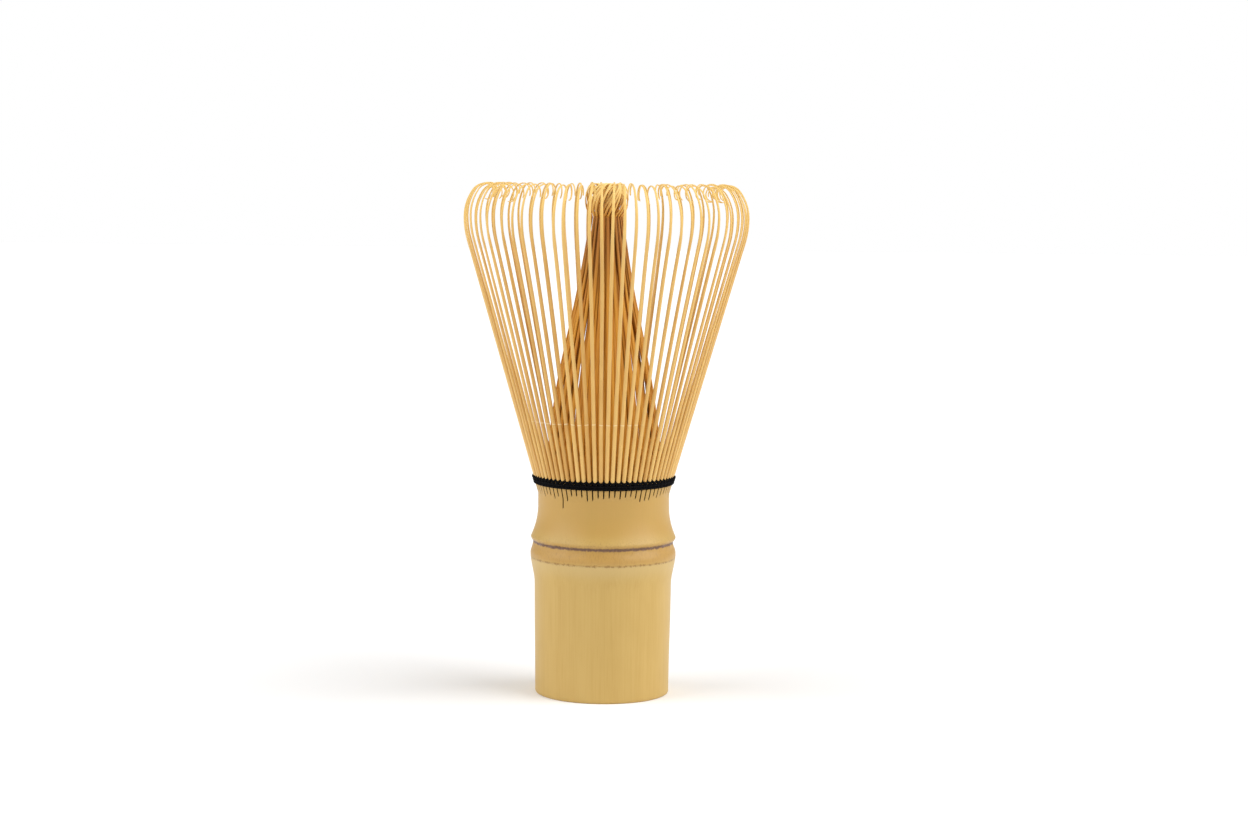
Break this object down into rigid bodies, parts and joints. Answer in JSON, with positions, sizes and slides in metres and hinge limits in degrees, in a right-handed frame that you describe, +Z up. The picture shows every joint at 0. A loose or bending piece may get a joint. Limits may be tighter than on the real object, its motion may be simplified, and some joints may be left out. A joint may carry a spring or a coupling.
{
  "type": "tea whisk",
  "caption": "Hand-split bamboo tea whisk: a culm handle with its node, a ring of curled outer tines laced with black thread, and a closed inner bundle of fine tines.",
  "frame": {"origin": "centre of the foot, on the surface that the whisk stands on", "axes": "+Z up along the handle towards the tines; -Y the front, as pictured; +X to the right seen from the front"},
  "size_m": [0.0608, 0.0608, 0.1084],
  "materials": {
    "bamboo_culm": "natural, dry, smooth skin",
    "bamboo_outer_tines": "shaved, dry, slight sheen",
    "bamboo_inner_tines": "shaved, dry",
    "black_thread": "dyed cotton, matt"
  },
  "bodies": {
    "handle": {"culm": "bamboo_culm", "septum": "bamboo_culm", "lacing_outer_turns": "black_thread", "lacing_inner_turns": "black_thread", "lacing_crossings": "black_thread", "lacing_knot": "black_thread", "inner_tine_roots": "bamboo_inner_tines"},
    "bundle_middle": {"inner_tines_middle": "bamboo_inner_tines"},
    "bundle_upper": {"inner_tines_upper": "bamboo_inner_tines", "tip_knot": "bamboo_inner_tines"},
    "outer_01": {"outer_tines_01": "bamboo_outer_tines"},
    "outer_02": {"outer_tines_02": "bamboo_outer_tines"},
    "outer_03": {"outer_tines_03": "bamboo_outer_tines"},
    "outer_04": {"outer_tines_04": "bamboo_outer_tines"},
    "outer_05": {"outer_tines_05": "bamboo_outer_tines"},
    "outer_06": {"outer_tines_06": "bamboo_outer_tines"},
    "outer_07": {"outer_tines_07": "bamboo_outer_tines"},
    "outer_08": {"outer_tines_08": "bamboo_outer_tines"},
    "outer_09": {"outer_tines_09": "bamboo_outer_tines"},
    "outer_10": {"outer_tines_10": "bamboo_outer_tines"},
    "outer_11": {"outer_tines_11": "bamboo_outer_tines"},
    "outer_12": {"outer_tines_12": "bamboo_outer_tines"},
    "outer_13": {"outer_tines_13": "bamboo_outer_tines"},
    "outer_14": {"outer_tines_14": "bamboo_outer_tines"},
    "outer_15": {"outer_tines_15": "bamboo_outer_tines"},
    "outer_16": {"outer_tines_16": "bamboo_outer_tines"},
    "outer_17": {"outer_tines_17": "bamboo_outer_tines"},
    "outer_18": {"outer_tines_18": "bamboo_outer_tines"},
    "outer_19": {"outer_tines_19": "bamboo_outer_tines"},
    "outer_20": {"outer_tines_20": "bamboo_outer_tines"},
    "outer_21": {"outer_tines_21": "bamboo_outer_tines"},
    "outer_22": {"outer_tines_22": "bamboo_outer_tines"},
    "outer_23": {"outer_tines_23": "bamboo_outer_tines"},
    "outer_24": {"outer_tines_24": "bamboo_outer_tines"}
  },
  "joints": [
    {"name": "outer_tines_01_flex", "type": "hinge", "parent": "handle", "child": "outer_01", "pos_m": [0.0018, -0.01462, 0.04698], "axis": [0.9925, 0.1219, 0], "range_deg": [-4.5, 6], "stiffness_Nm_per_rad": 0.007},
    {"name": "outer_tines_02_flex", "type": "hinge", "parent": "handle", "child": "outer_02", "pos_m": [0.00529, -0.01375, 0.04698], "axis": [0.9333, 0.3591, 0], "range_deg": [-4.5, 6], "stiffness_Nm_per_rad": 0.007},
    {"name": "outer_tines_03_flex", "type": "hinge", "parent": "handle", "child": "outer_03", "pos_m": [0.00849, -0.01204, 0.04698], "axis": [0.8173, 0.5762, 0], "range_deg": [-4.5, 6], "stiffness_Nm_per_rad": 0.007},
    {"name": "outer_tines_04_flex", "type": "hinge", "parent": "handle", "child": "outer_04", "pos_m": [0.0112, -0.00957, 0.04698], "axis": [0.6496, 0.7602, 0], "range_deg": [-4.5, 6], "stiffness_Nm_per_rad": 0.007},
    {"name": "outer_tines_05_flex", "type": "hinge", "parent": "handle", "child": "outer_05", "pos_m": [0.01324, -0.00646, 0.04698], "axis": [0.4385, 0.8987, 0], "range_deg": [-4.5, 6], "stiffness_Nm_per_rad": 0.007},
    {"name": "outer_tines_06_flex", "type": "hinge", "parent": "handle", "child": "outer_06", "pos_m": [0.01445, -0.00288, 0.04698], "axis": [0.1954, 0.9807, 0], "range_deg": [-4.5, 6], "stiffness_Nm_per_rad": 0.007},
    {"name": "outer_tines_07_flex", "type": "hinge", "parent": "handle", "child": "outer_07", "pos_m": [0.0147, 0.00096, 0.04698], "axis": [-0.0651, 0.9979, 0], "range_deg": [-4.5, 6], "stiffness_Nm_per_rad": 0.007},
    {"name": "outer_tines_08_flex", "type": "hinge", "parent": "handle", "child": "outer_08", "pos_m": [0.01393, 0.00479, 0.04698], "axis": [-0.3254, 0.9456, 0], "range_deg": [-4.5, 6], "stiffness_Nm_per_rad": 0.007},
    {"name": "outer_tines_09_flex", "type": "hinge", "parent": "handle", "child": "outer_09", "pos_m": [0.01214, 0.00834, 0.04698], "axis": [-0.5662, 0.8243, 0], "range_deg": [-4.5, 6], "stiffness_Nm_per_rad": 0.007},
    {"name": "outer_tines_10_flex", "type": "hinge", "parent": "handle", "child": "outer_10", "pos_m": [0.00943, 0.01132, 0.04698], "axis": [-0.7681, 0.6403, 0], "range_deg": [-4.5, 6], "stiffness_Nm_per_rad": 0.007},
    {"name": "outer_tines_11_flex", "type": "hinge", "parent": "handle", "child": "outer_11", "pos_m": [0.00598, 0.01346, 0.04698], "axis": [-0.9139, 0.406, 0], "range_deg": [-4.5, 6], "stiffness_Nm_per_rad": 0.007},
    {"name": "outer_tines_12_flex", "type": "hinge", "parent": "handle", "child": "outer_12", "pos_m": [0.00205, 0.01459, 0.04698], "axis": [-0.9903, 0.1391, 0], "range_deg": [-4.5, 6], "stiffness_Nm_per_rad": 0.007},
    {"name": "outer_tines_13_flex", "type": "hinge", "parent": "handle", "child": "outer_13", "pos_m": [-0.00205, 0.01459, 0.04698], "axis": [-0.9903, -0.1391, 0], "range_deg": [-4.5, 6], "stiffness_Nm_per_rad": 0.007},
    {"name": "outer_tines_14_flex", "type": "hinge", "parent": "handle", "child": "outer_14", "pos_m": [-0.00598, 0.01346, 0.04698], "axis": [-0.9139, -0.406, 0], "range_deg": [-4.5, 6], "stiffness_Nm_per_rad": 0.007},
    {"name": "outer_tines_15_flex", "type": "hinge", "parent": "handle", "child": "outer_15", "pos_m": [-0.00943, 0.01132, 0.04698], "axis": [-0.7681, -0.6403, 0], "range_deg": [-4.5, 6], "stiffness_Nm_per_rad": 0.007},
    {"name": "outer_tines_16_flex", "type": "hinge", "parent": "handle", "child": "outer_16", "pos_m": [-0.01214, 0.00834, 0.04698], "axis": [-0.5662, -0.8243, 0], "range_deg": [-4.5, 6], "stiffness_Nm_per_rad": 0.007},
    {"name": "outer_tines_17_flex", "type": "hinge", "parent": "handle", "child": "outer_17", "pos_m": [-0.01393, 0.00479, 0.04698], "axis": [-0.3254, -0.9456, 0], "range_deg": [-4.5, 6], "stiffness_Nm_per_rad": 0.007},
    {"name": "outer_tines_18_flex", "type": "hinge", "parent": "handle", "child": "outer_18", "pos_m": [-0.0147, 0.00096, 0.04698], "axis": [-0.0651, -0.9979, 0], "range_deg": [-4.5, 6], "stiffness_Nm_per_rad": 0.007},
    {"name": "outer_tines_19_flex", "type": "hinge", "parent": "handle", "child": "outer_19", "pos_m": [-0.01445, -0.00288, 0.04698], "axis": [0.1954, -0.9807, 0], "range_deg": [-4.5, 6], "stiffness_Nm_per_rad": 0.007},
    {"name": "outer_tines_20_flex", "type": "hinge", "parent": "handle", "child": "outer_20", "pos_m": [-0.01324, -0.00646, 0.04698], "axis": [0.4385, -0.8987, 0], "range_deg": [-4.5, 6], "stiffness_Nm_per_rad": 0.007},
    {"name": "outer_tines_21_flex", "type": "hinge", "parent": "handle", "child": "outer_21", "pos_m": [-0.0112, -0.00957, 0.04698], "axis": [0.6496, -0.7602, 0], "range_deg": [-4.5, 6], "stiffness_Nm_per_rad": 0.007},
    {"name": "outer_tines_22_flex", "type": "hinge", "parent": "handle", "child": "outer_22", "pos_m": [-0.00849, -0.01204, 0.04698], "axis": [0.8173, -0.5762, 0], "range_deg": [-4.5, 6], "stiffness_Nm_per_rad": 0.007},
    {"name": "outer_tines_23_flex", "type": "hinge", "parent": "handle", "child": "outer_23", "pos_m": [-0.00529, -0.01375, 0.04698], "axis": [0.9333, -0.3591, 0], "range_deg": [-4.5, 6], "stiffness_Nm_per_rad": 0.007},
    {"name": "outer_tines_24_flex", "type": "hinge", "parent": "handle", "child": "outer_24", "pos_m": [-0.0018, -0.01462, 0.04698], "axis": [0.9925, -0.1219, 0], "range_deg": [-4.5, 6], "stiffness_Nm_per_rad": 0.007},
    {"name": "bundle_sway_side", "type": "slide", "parent": "handle", "child": "bundle_middle", "axis": [1, 0, 0], "range_m": [-0.004, 0.004], "stiffness_N_per_m": 80},
    {"name": "bundle_sway_fore_aft", "type": "slide", "parent": "bundle_middle", "child": "bundle_upper", "axis": [0, 1, 0], "range_m": [-0.004, 0.004], "stiffness_N_per_m": 80}
  ]
}
